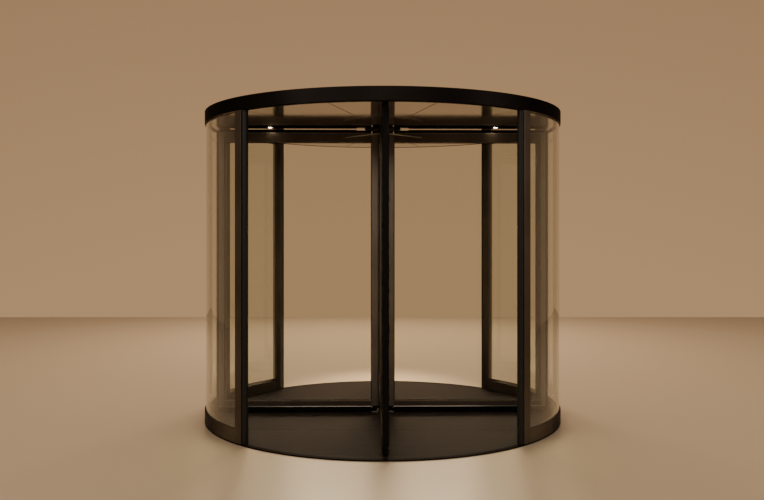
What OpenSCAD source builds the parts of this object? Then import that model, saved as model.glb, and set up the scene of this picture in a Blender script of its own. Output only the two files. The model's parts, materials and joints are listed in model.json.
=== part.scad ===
// Four-wing revolving door, in millimetres.
// A round drum with two curved glass walls stands still, and a rotor with four framed glass wings turns
// in it. The origin is on the floor at the turning axis, +Z is up and the front throat faces -Y.

/* [Drum] */
// Outer diameter of the drum and of its canopy
drum_d = 2940; // [2700:10:3300]
// Height of the ceiling above the underside of the door
ceiling_z = 2400; // [2100:10:2700]
// Depth of the wall frames, from inside face to outside face
wall_depth = 60; // [54:1:80]
// Angle of the walk-through throat, between the tips of its two rubber noses
throat_angle = 84.6; // [76:0.2:90]

/* [Wall frames] */
// Softened corner of the aluminium bars, in the walls and in the wings
arris = 1.5; // [0.5:0.5:2.5]
// Width of an end post, measured along the wall
post_w = 68; // [50:1:90]
// Reach of the two lips at an end post's edge
post_lip_l = 3; // [1:0.5:5]
// Thickness of the two lips at an end post's edge
post_lip_t = 6; // [3:0.5:8]
// Depth of the channel in an end post that holds the rubber nose
nose_seat = 8; // [4:1:16]
// Width of a rubber safety nose, across the wall
nose_w = 46; // [34:1:52]
// Length of a rubber safety nose, beyond the end post
nose_len = 36; // [30:1:60]
// Width of the nose's neck
nose_neck_w = 30; // [20:1:34]
// Gap between the post's lips and the nose's shoulders
nose_shoulder_gap = 2; // [1:0.5:4]
// Height of the bottom rail under the curved glass, above the floor ring
sill_h = 92; // [60:1:160]
// Number of lengths that a front bottom rail is bent in
front_sill_n = 3; // [1:1:4]
// Distance of the facade plane behind the turning axis
facade_y = 336; // [200:2:440]
// Width of the wall post at the facade plane
mullion_w = 66; // [60:1:90]

/* [Wall glass] */
// Thickness of the curved glass
wall_glass_t = 12; // [8:0.5:16]
// Distance from the wall's outside face to the curved glass
glass_setback = 11; // [10:0.5:24]
// Depth of the glass groove in the bottom rail
glass_seat = 12; // [6:1:20]
// Height of the sloped glazing beads
bead_h = 9; // [4:0.5:14]
// Width of the sloped glazing bead inside the glass
bead_w = 9; // [4:0.5:12]
// Flat edge of the bottom rail outside its outer glazing bead
bead_edge = 1; // [0.5:0.5:2]

/* [Canopy] */
// Height of the canopy band
canopy_h = 100; // [70:1:300]
// Radial thickness of the canopy band
canopy_t = 50; // [40:1:70]
// Reach of the inner flange that the ceiling panels hang from
flange_reach = 60; // [40:1:100]
// Thickness of the inner flange
flange_t = 14; // [8:1:24]
// Softened lower edge of the canopy band
canopy_edge = 3; // [1:0.5:6]
// Thickness of the dust cover on top
cover_t = 3; // [2:0.5:10]
// Number of ceiling panels
panel_n = 12; // [8:4:16]
// Thickness of a ceiling panel
panel_t = 6; // [4:0.5:12]
// Width of the joint between two ceiling panels
panel_joint = 6; // [2:0.5:8]
// Radius of the plate round the shaft at the ceiling
hub_plate_r = 152; // [130:1:220]
// Thickness of the plate round the shaft at the ceiling
hub_plate_t = 6; // [5:0.5:12]
// Radius of a ceiling light
light_r = 42; // [25:1:60]
// Depth that a ceiling light stands below the panels
light_t = 1.5; // [0.5:0.5:2]
// Distance of each ceiling light from the axis, sideways
light_x = 937; // [700:5:1100]
// Distance of each ceiling light in front of the axis
light_y = 110; // [60:5:140]

/* [Floor] */
// Thickness of the floor ring and of the entrance mat
floor_t = 10; // [6:0.5:20]
// Width of the floor ring round the mat
floor_ring_w = 35; // [20:1:55]
// Softened outer edge of the floor ring
ring_edge = 2; // [1:0.5:5]
// Radius of the floor bearing
floor_bearing_r = 50; // [45:1:56]
// Height that the floor bearing stands above the mat
floor_bearing_proud = 6; // [3:0.5:8]
// Thickness of metal under the shaft's end
bearing_floor_t = 4; // [2:0.5:5]
// Softened edge of the floor bearing and of the plate at the ceiling
plate_edge = 3; // [1:0.5:3]

/* [Rotor] */
// Angle at which the rotor has come to rest
rotor_turn = 0.8; // [0:0.1:3]
// Radius of the centre shaft
shaft_r = 25; // [20:0.5:26]
// Radius of the journals at the shaft's two ends
journal_r = 20; // [14:0.5:19.5]
// Length of the top journal above the ceiling
journal_rise = 12; // [8:1:18]
// Wall of the bearing boss round the top journal
boss_wall = 25; // [12:1:35]
// Thickness of the hub stars that carry the wings
hub_t = 16; // [12:1:20]
// Radius of the round middle of a hub star
hub_disc_r = 42; // [36:1:49]
// Radius of the sleeves between the hub stars and the bearings
sleeve_r = 33; // [29:0.5:35]
// Radius of a wing's pivot pin
pin_r = 8; // [5:0.5:12]
// Length of a pivot pin inside the wing's stile
pin_len = 30; // [20:1:45]

/* [Wings] */
// Thickness of a wing frame
wing_t = 45; // [36:1:48]
// Distance from the turning axis to a wing's inner stile
stile_start_r = 40; // [39:0.5:48]
// Width of the inner stile, which holds the pivots
inner_stile_w = 52; // [48:1:60]
// Width of the outer stile
outer_stile_w = 42; // [30:1:70]
// Height of the top rail
top_rail_h = 73; // [50:1:120]
// Height of the bottom rail
bottom_rail_h = 44; // [36:1:250]
// Thickness of the wing glass
wing_glass_t = 10; // [6:0.5:14]
// Depth of the glass groove in the wing frame
wing_glass_seat = 10; // [6:1:16]
// Height of a wing's sloped glazing bead
wing_bead_h = 8; // [4:0.5:12]
// Step between the frame's face and the foot of the glazing bead
wing_bead_step = 4; // [3:0.5:8]

/* [Stays] */
// Distance from the turning axis to the pivot of a stay that holds two wings square
stay_r = 315; // [260:5:400]
// Depth of the stays below a wing's top edge
stay_drop = 37; // [30:1:42]
// Diameter of a stay
stay_d = 8; // [6:0.5:8.5]
// Radius of the eye at a stay's pivot, and of its lug
stay_eye_r = 9; // [8:0.5:11]
// Thickness of the eye at a stay's pivot
stay_eye_t = 9; // [9:0.5:12]
// Radius of a stay's pivot pin
stay_pin_r = 4; // [3:0.5:5]
// Thickness of the two plates of a stay's lug
stay_lug_t = 5; // [3:0.5:6]

/* [Seals] */
// Length of the brush on a wing's outer edge
edge_brush_l = 24; // [14:1:50]
// Height of the brush on a wing's top rail
top_brush_h = 25; // [21:1:36]
// Height of the brush under a wing's bottom rail
bottom_brush_h = 50; // [30:1:60]
// Reach of the two lips that hold a brush
carrier_l = 5; // [3:0.5:8]
// Thickness of the two lips that hold a brush
carrier_t = 3.5; // [2:0.5:6]
// Reach of the inner rubber strip towards the shaft
inner_strip_l = 8.5; // [4:0.5:8.5]
// Thickness of the inner rubber strip
inner_strip_t = 16; // [6:1:18]

/* [Clearances] */
// Running gap of the brushes to the wall, the mat and the ceiling
run_gap = 6; // [5:0.5:7]
// Radial gap of a journal or pin in its bore
bore_gap = 0.05; // [0.02:0.01:0.1]
// Gap between faces that turn on each other, and at the ends of curved pieces
face_gap = 0.3; // [0.2:0.1:0.5]
// Gap beside the glass in its groove
glass_gap = 1; // [0.5:0.1:1.5]

/* [Hidden] */
$fn = 240;
drum_r = drum_d / 2;
wall_in_r = drum_r - wall_depth;
wall_mid_r = drum_r - wall_depth / 2;
floor_z = floor_t;
wall_h = ceiling_z - floor_z;
sill_z = floor_z + sill_h;
cut = 1;

function along_wall(length) = length / wall_mid_r * 180 / PI;

nose_neck_l = post_lip_l + nose_shoulder_gap;
nose_tip_a = 90 - throat_angle / 2;
nose_root_a = nose_tip_a - along_wall(nose_len);
post_root_a = nose_root_a - along_wall(post_w);
mullion_a = asin(facade_y / wall_mid_r);
mullion_half_a = along_wall(mullion_w / 2);
seat_a = along_wall(face_gap);
facade_skew = facade_y * (drum_r / wall_mid_r - 1);
facade_seat_w = mullion_w - 2 * facade_skew - 4;
glass_out_r = drum_r - glass_setback;

mat_r = drum_r - floor_ring_w;
panel_r = drum_r - canopy_t;
flange_in_r = panel_r - flange_reach;
panel_top_z = ceiling_z + panel_t;
top_z = ceiling_z + canopy_h;
boss_r = journal_r + boss_wall;
boss_top_z = panel_top_z + flange_t;
hub_plate_z = ceiling_z - hub_plate_t;
bearing_top_z = floor_z + floor_bearing_proud;

brush_bottom_z = floor_z + run_gap;
wing_bottom_z = brush_bottom_z + bottom_brush_h;
brush_top_z = hub_plate_z - run_gap;
wing_top_z = brush_top_z - top_brush_h;
brush_tip_r = wall_in_r - run_gap;
wing_end_r = brush_tip_r - edge_brush_l;
inner_stile_end_r = stile_start_r + inner_stile_w;
outer_stile_r = wing_end_r - outer_stile_w;
pivot_r = stile_start_r + inner_stile_w / 2;
hub_arm_w = wing_t;
brush_t = wing_t - 2 * carrier_t;
brush_start_r = pivot_r + hub_arm_w / 2 + run_gap;
bottom_rail_top_z = wing_bottom_z + bottom_rail_h;
top_rail_bottom_z = wing_top_z - top_rail_h;
stay_z = wing_top_z - stay_drop;
stay_y = wing_t / 2 + run_gap + stay_eye_r;

bronze = "#3a2d24";
dark_bronze = "#2a201a";
black_rubber = "#161616";
brush_black = "#1c1b1a";
clear_glass = [0.72, 0.80, 0.76, 0.35];
mirror_bronze = "#c9b89d";
mat_brown = "#4c443d";
steel = "#8d8d8a";

WINGS = ["front_wing", "right_wing", "rear_wing", "left_wing"];

// The wall pieces are drawn for the right rear quarter and mirrored to the others.
module to_side(left, front) {
    mirror([left ? 1 : 0, 0, 0])
        mirror([0, front ? 1 : 0, 0])
            children();
}

// A profile in the (radius, height) plane, swept round the axis between two angles.
module wall_arc(from_a, to_a) {
    rotate([0, 0, from_a])
        rotate_extrude(angle = to_a - from_a)
            children();
}

// Floor

module floor_ring() {
    color(dark_bronze)
        rotate_extrude()
            polygon([
                [mat_r, 0], [drum_r, 0], [drum_r, floor_t - ring_edge],
                [drum_r - ring_edge, floor_t], [mat_r, floor_t]
            ]);
}

module entrance_mat() {
    color(mat_brown)
        difference() {
            cylinder(r = mat_r, h = floor_t);
            translate([0, 0, -cut]) cylinder(r = floor_bearing_r, h = floor_t + 2 * cut);
        }
}

module floor_bearing() {
    color(steel)
        difference() {
            rotate_extrude()
                polygon([
                    [0, 0], [floor_bearing_r, 0], [floor_bearing_r, bearing_top_z - plate_edge],
                    [floor_bearing_r - plate_edge, bearing_top_z], [0, bearing_top_z]
                ]);
            translate([0, 0, bearing_floor_t]) cylinder(r = journal_r + bore_gap, h = bearing_top_z);
        }
}

// Curved side walls

// Section of the bottom rail: a box with two sloped glazing beads beside the glass groove.
module sill_section() {
    groove_in = glass_out_r - wall_glass_t - glass_gap;
    groove_out = glass_out_r + glass_gap;
    polygon([
        [wall_in_r, floor_z], [drum_r, floor_z], [drum_r, sill_z],
        [drum_r - bead_edge, sill_z], [groove_out, sill_z + bead_h],
        [groove_out, sill_z - glass_seat], [groove_in, sill_z - glass_seat],
        [groove_in, sill_z + bead_h], [groove_in - bead_w, sill_z],
        [wall_in_r + arris, sill_z], [wall_in_r, sill_z - arris]
    ]);
}

// Sweeps its section over a wall's front or rear field, between the end post and the mullion, in lengths
// that meet at hairline joints.
module wall_field(left, front, lengths) {
    from_a = front ? -post_root_a : mullion_a + mullion_half_a;
    to_a = front ? mullion_a - mullion_half_a : post_root_a;
    step_a = (to_a - from_a) / lengths;
    to_side(left, false)
        for (i = [0 : lengths - 1])
            wall_arc(from_a + i * step_a + seat_a, from_a + (i + 1) * step_a - seat_a)
                children();
}

module sill(left, front) {
    color(bronze)
        wall_field(left, front, front ? front_sill_n : 1) sill_section();
}

module wall_glass(left, front) {
    glass_z = sill_z - glass_seat;
    color(clear_glass)
        wall_field(left, front, 1)
            translate([glass_out_r - wall_glass_t, glass_z])
                square([wall_glass_t, ceiling_z - face_gap - glass_z]);
}

// Slot in the post's end face, from depth inside the face out past the post's lips.
module post_slot(width, depth) {
    translate([wall_mid_r - width / 2, -depth, floor_z - cut])
        cube([width, depth + nose_neck_l, wall_h + 2 * cut]);
}

// End post with two lips along its edge, and a channel between them for the rubber nose.
module post(left, front) {
    color(bronze)
        to_side(left, front)
            difference() {
                wall_arc(post_root_a, nose_root_a + along_wall(post_lip_l))
                    translate([wall_in_r, floor_z]) square([wall_depth, wall_h]);
                rotate([0, 0, nose_root_a]) {
                    post_slot(wall_depth - 2 * post_lip_t, 0);
                    post_slot(nose_neck_w + 2 * face_gap, nose_seat);
                }
            }
}

// Rubber profile on the post's end, which gives way when a hand or foot is caught: a neck that sits in the
// post's channel, and a bulb with a round tip.
module nose(left, front) {
    flat_len = nose_len - nose_w / 2;
    color(black_rubber)
        to_side(left, front)
            rotate([0, 0, nose_root_a])
                translate([wall_mid_r, 0, floor_z])
                    linear_extrude(wall_h) {
                        translate([-nose_neck_w / 2, face_gap - nose_seat])
                            square([nose_neck_w, nose_seat - face_gap + nose_neck_l + cut]);
                        intersection() {
                            union() {
                                translate([-nose_w / 2, 0]) square([nose_w, flat_len]);
                                translate([0, flat_len]) circle(d = nose_w);
                            }
                            translate([-nose_w, nose_neck_l]) square([2 * nose_w, nose_len]);
                        }
                    }
}

// Wall post at the facade plane, with the flat outer face that the building's facade meets.
module mullion(left) {
    seat_x = wall_mid_r * cos(mullion_a);
    color(bronze)
        to_side(left, false)
            translate([0, 0, floor_z])
                linear_extrude(wall_h) {
                    intersection() {
                        difference() {
                            circle(r = drum_r);
                            circle(r = wall_in_r);
                        }
                        polygon([
                            [0, 0],
                            2 * drum_r * [cos(mullion_a - mullion_half_a), sin(mullion_a - mullion_half_a)],
                            2 * drum_r * [cos(mullion_a + mullion_half_a), sin(mullion_a + mullion_half_a)]
                        ]);
                    }
                    translate([seat_x, facade_y - facade_seat_w / 2])
                        square([drum_r - seat_x, facade_seat_w]);
                }
}

// Canopy and ceiling

module canopy_ring() {
    color(dark_bronze)
        rotate_extrude()
            polygon([
                [panel_r, ceiling_z], [drum_r - canopy_edge, ceiling_z], [drum_r, ceiling_z + canopy_edge],
                [drum_r, top_z - cover_t], [panel_r, top_z - cover_t],
                [panel_r, panel_top_z + flange_t], [flange_in_r, panel_top_z + flange_t],
                [flange_in_r, panel_top_z], [panel_r, panel_top_z]
            ]);
}

module canopy_cover() {
    color(dark_bronze)
        translate([0, 0, top_z - cover_t]) cylinder(r = drum_r, h = cover_t);
}

// Wedge panels with joints of even width: each wedge starts half a joint away from the centre lines.
module ceiling_panels() {
    half_a = 180 / panel_n;
    apex = panel_joint / 2 / sin(half_a);
    reach = 2 * panel_r;
    color(mirror_bronze)
        for (i = [0 : panel_n - 1])
            rotate([0, 0, i * 2 * half_a])
                translate([0, 0, ceiling_z])
                    linear_extrude(panel_t)
                        difference() {
                            intersection() {
                                circle(r = panel_r);
                                polygon([
                                    [apex, 0],
                                    [apex + reach, reach * tan(half_a)],
                                    [apex + reach, -reach * tan(half_a)]
                                ]);
                            }
                            circle(r = boss_r + face_gap);
                        }
}

module ceiling_hub() {
    color(dark_bronze)
        difference() {
            rotate_extrude()
                polygon([
                    [0, hub_plate_z], [hub_plate_r - plate_edge, hub_plate_z],
                    [hub_plate_r, hub_plate_z + plate_edge], [hub_plate_r, ceiling_z],
                    [boss_r, ceiling_z], [boss_r, boss_top_z], [0, boss_top_z]
                ]);
            translate([0, 0, hub_plate_z - cut])
                cylinder(r = journal_r + bore_gap, h = boss_top_z - hub_plate_z + 2 * cut);
        }
}

module ceiling_lights() {
    color("white")
        for (side = [-1, 1])
            translate([side * light_x, -light_y, ceiling_z - light_t])
                cylinder(r = light_r, h = light_t);
}

// Rotor

module centre_shaft() {
    shaft_bottom_z = bearing_top_z + face_gap;
    journal_bottom_z = bearing_floor_t + face_gap;
    journal_top_z = ceiling_z + journal_rise;
    color(steel) {
        translate([0, 0, shaft_bottom_z])
            cylinder(r = shaft_r, h = hub_plate_z - face_gap - shaft_bottom_z);
        translate([0, 0, journal_bottom_z])
            cylinder(r = journal_r, h = journal_top_z - journal_bottom_z);
    }
}

// Four-armed star on the shaft, with a pivot pin for each wing pointing along pin_dir, and with a sleeve that
// reaches to the bearing at end_z.
module hub(star_z, pin_dir, end_z) {
    sleeve_z = min(star_z, end_z);
    sleeve_h = max(star_z + hub_t, end_z) - sleeve_z;
    color(dark_bronze)
        rotate([0, 0, rotor_turn])
            difference() {
                union() {
                    for (a = [0, 90])
                        rotate([0, 0, a])
                            translate([-pivot_r, -hub_arm_w / 2, star_z])
                                cube([2 * pivot_r, hub_arm_w, hub_t]);
                    for (a = [0 : 90 : 270])
                        rotate([0, 0, a])
                            translate([pivot_r, 0, star_z]) {
                                cylinder(d = hub_arm_w, h = hub_t);
                                translate([0, 0, pin_dir > 0 ? 0 : -pin_len - face_gap])
                                    cylinder(r = pin_r, h = hub_t + pin_len + face_gap);
                            }
                    translate([0, 0, star_z]) cylinder(r = hub_disc_r, h = hub_t);
                    translate([0, 0, sleeve_z]) cylinder(r = sleeve_r, h = sleeve_h);
                }
                translate([0, 0, sleeve_z - cut]) cylinder(r = shaft_r + bore_gap, h = sleeve_h + 2 * cut);
            }
}

module bottom_hub() {
    hub(wing_bottom_z - face_gap - hub_t, 1, bearing_top_z + face_gap);
}

module top_hub() {
    hub(wing_top_z + face_gap, -1, hub_plate_z - face_gap);
}

// Wings, drawn along +X and turned to their places

module place_wing(k) {
    rotate([0, 0, 90 * k - 90 + rotor_turn])
        children();
}

// Section of a frame bar, across the wing's thickness. Its outer edge is at 0 and its glass edge at w, where
// the glass groove is.
module bar_section(w) {
    half_t = wing_t / 2;
    groove_half = wing_glass_t / 2 + glass_gap;
    difference() {
        polygon([
            [-half_t, arris], [arris - half_t, 0], [half_t - arris, 0], [half_t, arris],
            [half_t, w - arris], [half_t - arris, w], [arris - half_t, w], [-half_t, w - arris]
        ]);
        translate([-groove_half, w - wing_glass_seat]) square([2 * groove_half, 2 * wing_glass_seat]);
    }
}

// Sections of the two glazing beads that slope from the bar's glass edge at w towards the glass.
module bead_section(w) {
    groove_half = wing_glass_t / 2 + glass_gap;
    foot = wing_t / 2 - wing_bead_step;
    for (side = [-1, 1])
        polygon([
            [side * groove_half, w - arris], [side * foot, w - arris], [side * foot, w],
            [side * groove_half, w + wing_bead_h]
        ]);
}

// Sections of the two lips that hold a brush at the bar's outer edge.
module carrier_section() {
    for (side = [-1, 1])
        translate([side * (wing_t - carrier_t) / 2 - carrier_t / 2, -carrier_l])
            square([carrier_t, carrier_l + arris]);
}

// Draws a section upwards. Its outer edge is at x_edge, and it faces the glass along glass_dir.
module upright(x_edge, glass_dir, z0, z1) {
    translate([x_edge, 0, z0])
        linear_extrude(z1 - z0)
            rotate(-90 * glass_dir) children();
}

// Draws a section along the wing. Its outer edge is at z_edge, and it faces the glass along glass_dir.
module level(z_edge, glass_dir, x0, x1) {
    translate([x0, 0, z_edge])
        rotate([90, 0, 90])
            linear_extrude(x1 - x0)
                rotate(90 - 90 * glass_dir) children();
}

// The rails' glazing beads run from stile to stile.
module rail_beads() {
    level(wing_bottom_z, 1, inner_stile_end_r, outer_stile_r) bead_section(bottom_rail_h);
    level(wing_top_z, -1, inner_stile_end_r, outer_stile_r) bead_section(top_rail_h);
}

// A stile's glazing beads are coped over those of the rails.
module stile_bead(x_edge, glass_dir, w) {
    difference() {
        upright(x_edge, glass_dir, bottom_rail_top_z, top_rail_bottom_z) bead_section(w);
        rail_beads();
    }
}

module wing_stiles(k) {
    hole_r = pin_r + bore_gap;
    hole_len = pin_len + glass_gap;
    color(bronze)
        place_wing(k) {
            difference() {
                union() {
                    upright(stile_start_r, 1, wing_bottom_z, wing_top_z) bar_section(inner_stile_w);
                    stile_bead(stile_start_r, 1, inner_stile_w);
                }
                translate([pivot_r, 0, wing_bottom_z - cut]) cylinder(r = hole_r, h = hole_len + cut);
                translate([pivot_r, 0, wing_top_z - hole_len]) cylinder(r = hole_r, h = hole_len + cut);
            }
            upright(wing_end_r, -1, wing_bottom_z, wing_top_z) {
                bar_section(outer_stile_w);
                carrier_section();
            }
            stile_bead(wing_end_r, -1, outer_stile_w);
            level(wing_bottom_z, 1, outer_stile_r, wing_end_r) carrier_section();
            level(wing_top_z, -1, outer_stile_r, wing_end_r) carrier_section();
        }
}

// A rail between the stiles, with a brush carrier from the first bristle on.
module rail(z_edge, glass_dir, h) {
    level(z_edge, glass_dir, inner_stile_end_r, outer_stile_r) bar_section(h);
    level(z_edge, glass_dir, brush_start_r, outer_stile_r) carrier_section();
}

// Two plates with a pin between them, on the top rail's side towards the next wing.
module stay_lug() {
    plate_gap = stay_eye_t + 2 * face_gap;
    for (plate_z = [stay_z - plate_gap / 2 - stay_lug_t, stay_z + plate_gap / 2])
        translate([stay_r, 0, plate_z]) {
            translate([-stay_eye_r, wing_t / 2 - cut, 0])
                cube([2 * stay_eye_r, stay_y - wing_t / 2 + cut, stay_lug_t]);
            translate([0, stay_y, 0]) cylinder(r = stay_eye_r, h = stay_lug_t);
        }
    translate([stay_r, stay_y, stay_z - (plate_gap + stay_lug_t) / 2])
        cylinder(r = stay_pin_r, h = plate_gap + stay_lug_t);
}

module wing_rails(k) {
    color(bronze)
        place_wing(k) {
            rail(wing_bottom_z, 1, bottom_rail_h);
            rail(wing_top_z, -1, top_rail_h);
            rail_beads();
            stay_lug();
        }
}

// Rod at 45 degrees that holds a wing square to the next one. Its eye turns in the lug of its own wing, and its
// magnetic head stands against the face of the next wing and lets go when the wing folds.
module wing_stay(k) {
    head_x = wing_t / 2 + face_gap + stay_eye_r;
    reach = stay_r - head_x;
    color(steel)
        place_wing(k)
            translate([stay_r, stay_y, stay_z])
                rotate([0, 0, 135])
                    difference() {
                        union() {
                            for (x = [0, reach * sqrt(2)])
                                translate([x, 0, -stay_eye_t / 2]) cylinder(r = stay_eye_r, h = stay_eye_t);
                            rotate([0, 90, 0]) cylinder(d = stay_d, h = reach * sqrt(2));
                        }
                        translate([0, 0, -stay_eye_t])
                            cylinder(r = stay_pin_r + bore_gap, h = 2 * stay_eye_t);
                    }
}

module wing_glass(k) {
    glass_x = inner_stile_end_r - wing_glass_seat + glass_gap;
    glass_end_x = outer_stile_r + wing_glass_seat - glass_gap;
    glass_z = bottom_rail_top_z - wing_glass_seat;
    glass_top_z = top_rail_bottom_z + wing_glass_seat - glass_gap;
    color(clear_glass)
        place_wing(k)
            translate([glass_x, -wing_glass_t / 2, glass_z])
                cube([glass_end_x - glass_x, wing_glass_t, glass_top_z - glass_z]);
}

module wing_seals(k) {
    color(brush_black)
        place_wing(k) {
            translate([wing_end_r, -brush_t / 2, brush_bottom_z])
                cube([edge_brush_l, brush_t, brush_top_z - brush_bottom_z]);
            translate([brush_start_r, -brush_t / 2, brush_bottom_z])
                cube([wing_end_r - brush_start_r - face_gap, brush_t, bottom_brush_h]);
            translate([brush_start_r, -brush_t / 2, wing_top_z])
                cube([wing_end_r - brush_start_r - face_gap, brush_t, top_brush_h]);
            translate([stile_start_r - inner_strip_l, -inner_strip_t / 2, wing_bottom_z])
                cube([inner_strip_l, inner_strip_t, wing_top_z - wing_bottom_z]);
        }
}

floor_ring();
entrance_mat();
floor_bearing();
sill(true, true);  // left_front_sill
sill(true, false);  // left_rear_sill
sill(false, true);  // right_front_sill
sill(false, false);  // right_rear_sill
mullion(true);  // left_mullion
mullion(false);  // right_mullion
post(true, true);  // left_front_post
post(true, false);  // left_rear_post
post(false, true);  // right_front_post
post(false, false);  // right_rear_post
nose(true, true);  // left_front_nose
nose(true, false);  // left_rear_nose
nose(false, true);  // right_front_nose
nose(false, false);  // right_rear_nose
wall_glass(true, true);  // left_front_glass
wall_glass(true, false);  // left_rear_glass
wall_glass(false, true);  // right_front_glass
wall_glass(false, false);  // right_rear_glass
canopy_ring();
canopy_cover();
ceiling_panels();
ceiling_hub();
ceiling_lights();
centre_shaft();
bottom_hub();
top_hub();
for (k = [0 : len(WINGS) - 1]) {
    wing_stiles(k);
    wing_rails(k);
    wing_glass(k);
    wing_seals(k);
    wing_stay(k);
}
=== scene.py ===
# %% [markdown]
# # A four-wing revolving door
# The door is a round drum that stands still, with two curved glass walls, a slim canopy and a floor mat. A
# cross of four framed glass wings turns in it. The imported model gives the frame: every piece below is built
# in metres, at the place of the solid that it dresses.

import json
import math
import random

import bmesh
import bpy
from mathutils import Matrix, Vector


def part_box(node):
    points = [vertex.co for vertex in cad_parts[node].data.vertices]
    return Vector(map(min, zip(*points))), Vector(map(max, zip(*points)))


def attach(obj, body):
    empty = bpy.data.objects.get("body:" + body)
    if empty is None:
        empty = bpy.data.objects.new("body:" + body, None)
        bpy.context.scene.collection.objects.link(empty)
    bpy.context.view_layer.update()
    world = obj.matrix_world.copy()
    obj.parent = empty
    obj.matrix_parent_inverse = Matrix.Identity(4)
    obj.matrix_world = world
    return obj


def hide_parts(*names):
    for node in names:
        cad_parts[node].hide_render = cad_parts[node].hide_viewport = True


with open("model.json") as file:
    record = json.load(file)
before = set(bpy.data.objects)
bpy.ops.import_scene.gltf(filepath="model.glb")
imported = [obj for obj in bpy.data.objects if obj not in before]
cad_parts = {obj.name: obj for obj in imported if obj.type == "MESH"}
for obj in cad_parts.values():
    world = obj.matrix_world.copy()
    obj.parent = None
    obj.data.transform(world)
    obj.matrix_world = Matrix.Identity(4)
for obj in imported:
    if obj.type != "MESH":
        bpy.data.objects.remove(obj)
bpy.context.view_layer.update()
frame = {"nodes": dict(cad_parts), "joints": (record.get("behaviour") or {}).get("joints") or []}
NODES = frame["nodes"]
MM = 0.001
print("CAD nodes:", len(NODES))

# %% [markdown]
# ## Camera
# The picture was taken at eye level from straight in front. A camera that is tilted to centre the door would
# make its posts lean, so this one is level, and a small shift moves the picture instead.

# %% Camera
EYE_HEIGHT = 1.506
EYE_DISTANCE = 6.85
SENSOR_WIDTH = 36.0
LENS = 38.17
SHIFT = (-0.0009, -0.0196)


def new_object(name, data):
    thing = bpy.data.objects.new(name, data)
    bpy.context.scene.collection.objects.link(thing)
    return thing


camera_data = bpy.data.cameras.new("camera")
camera_data.sensor_width = SENSOR_WIDTH
camera_data.lens = LENS
camera_data.shift_x, camera_data.shift_y = SHIFT
camera = new_object("camera", camera_data)
camera.location = (0, -EYE_DISTANCE, EYE_HEIGHT)
camera.rotation_euler = (math.radians(90), 0, 0)
bpy.context.scene.camera = camera
print("camera %.2f m in front of the axis" % EYE_DISTANCE)

# %% [markdown]
# ## Colours and shader nodes
# Colours are written as the sRGB hex codes that a colour picker shows, and one function turns them to the
# linear values that shaders work in. Another adds a shader node together with its settings and links, so
# that a material reads as a short list.

# %% Colours and nodes
def hex_colour(code):
    """An sRGB hex code as an opaque linear colour."""
    channels = [int(code[i:i + 2], 16) / 255 for i in (1, 3, 5)]
    return [c / 12.92 if c <= 0.04045 else ((c + 0.055) / 1.055) ** 2.4 for c in channels] + [1.0]


def add_node(material, kind, settings=None, links=None):
    """Adds a shader node, sets its inputs or properties, and links its inputs to other nodes' outputs."""
    node = material.node_tree.nodes.new(kind)
    for name, value in (settings or {}).items():
        if isinstance(name, int) or name in node.inputs:
            node.inputs[name].default_value = value
        else:
            setattr(node, name, value)
    for name, socket in (links or {}).items():
        material.node_tree.links.new(socket, node.inputs[name])
    return node


def new_material(name, **settings):
    """A material whose Principled shader has the given settings, with blanks written as underscores."""
    material = bpy.data.materials.new(name)
    material.use_nodes = True
    shader = material.node_tree.nodes["Principled BSDF"]
    for key, value in settings.items():
        shader.inputs[key.replace("_", " ")].default_value = value
    return material, shader


def wire(material, shader, **sockets):
    """Links the shader's inputs to the given sockets."""
    for key, socket in sockets.items():
        material.node_tree.links.new(socket, shader.inputs[key.replace("_", " ")])

# %% [markdown]
# A pattern is a soft noise that becomes a colour, a number or a bump. Its values lie mostly between 0.3 and
# 0.7, so that range is spread over the whole change. Photographed surfaces could be laid on the pieces
# instead, but a noise needs no layout, and one number says how fine it is. Scratches, bristles and yarn are
# drawn coarser than real ones, which would vanish at this distance.

# %% Patterns
NOISE_LOW, NOISE_HIGH = 0.3, 0.7


def object_point(material):
    return add_node(material, "ShaderNodeTexCoord").outputs["Object"]


def noise(material, per_metre, detail=2.0, point=None):
    """Soft random spots, about this many to the metre."""
    return add_node(material, "ShaderNodeTexNoise", {"Scale": per_metre, "Detail": detail},
                    {"Vector": point or object_point(material)}).outputs["Fac"]


def between(material, factor, dark, light, low=NOISE_LOW, high=NOISE_HIGH):
    """Turns a pattern's value into a colour from dark to light."""
    ramp = add_node(material, "ShaderNodeValToRGB", links={"Fac": factor})
    ends = ramp.color_ramp.elements
    ends[0].position, ends[1].position = low, high
    ends[0].color, ends[1].color = hex_colour(dark), hex_colour(light)
    return ramp.outputs["Color"]


def spread(material, factor, low, high):
    """Turns a pattern's value into a number from low to high."""
    return add_node(material, "ShaderNodeMapRange", {"From Min": NOISE_LOW, "From Max": NOISE_HIGH,
                                                     "To Min": low, "To Max": high},
                    {"Value": factor}).outputs["Result"]


def bump(material, height, distance, strength):
    return add_node(material, "ShaderNodeBump", {"Distance": distance, "Strength": strength},
                    {"Height": height}).outputs["Normal"]

# %% [markdown]
# ## Anodised aluminium
# The frames are extruded aluminium, etched and anodised in dark bronze. The etch leaves a satin surface, and
# the die leaves faint lines along each bar. So the pattern is a noise that is stretched along the bar: in Z
# on posts and stiles, in X or Y on the rails, and round the axis on curved rails, where it is read at
# (radius, height). Real die lines are a few tenths of a millimetre apart. Here they are 2 mm apart, so that
# they show from nearby. The glazing beads are smoother. The stiles get a lighter copy of the bronze, which is
# painted light for the light that falls on them. The canopy gets a nearly black copy with a darker edge tint,
# which is painted shade. The lips on the wings' rails are pale aluminium, whose paleness paints in part of
# the light line that they catch.

# %% Bronze and mill finishes
DIE_LINE = 2 * MM
DIE_LINE_DEPTH = 0.02 * MM
GRAIN_RUN = 600 * MM
DYE_CLOUDS = 2.2


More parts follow.
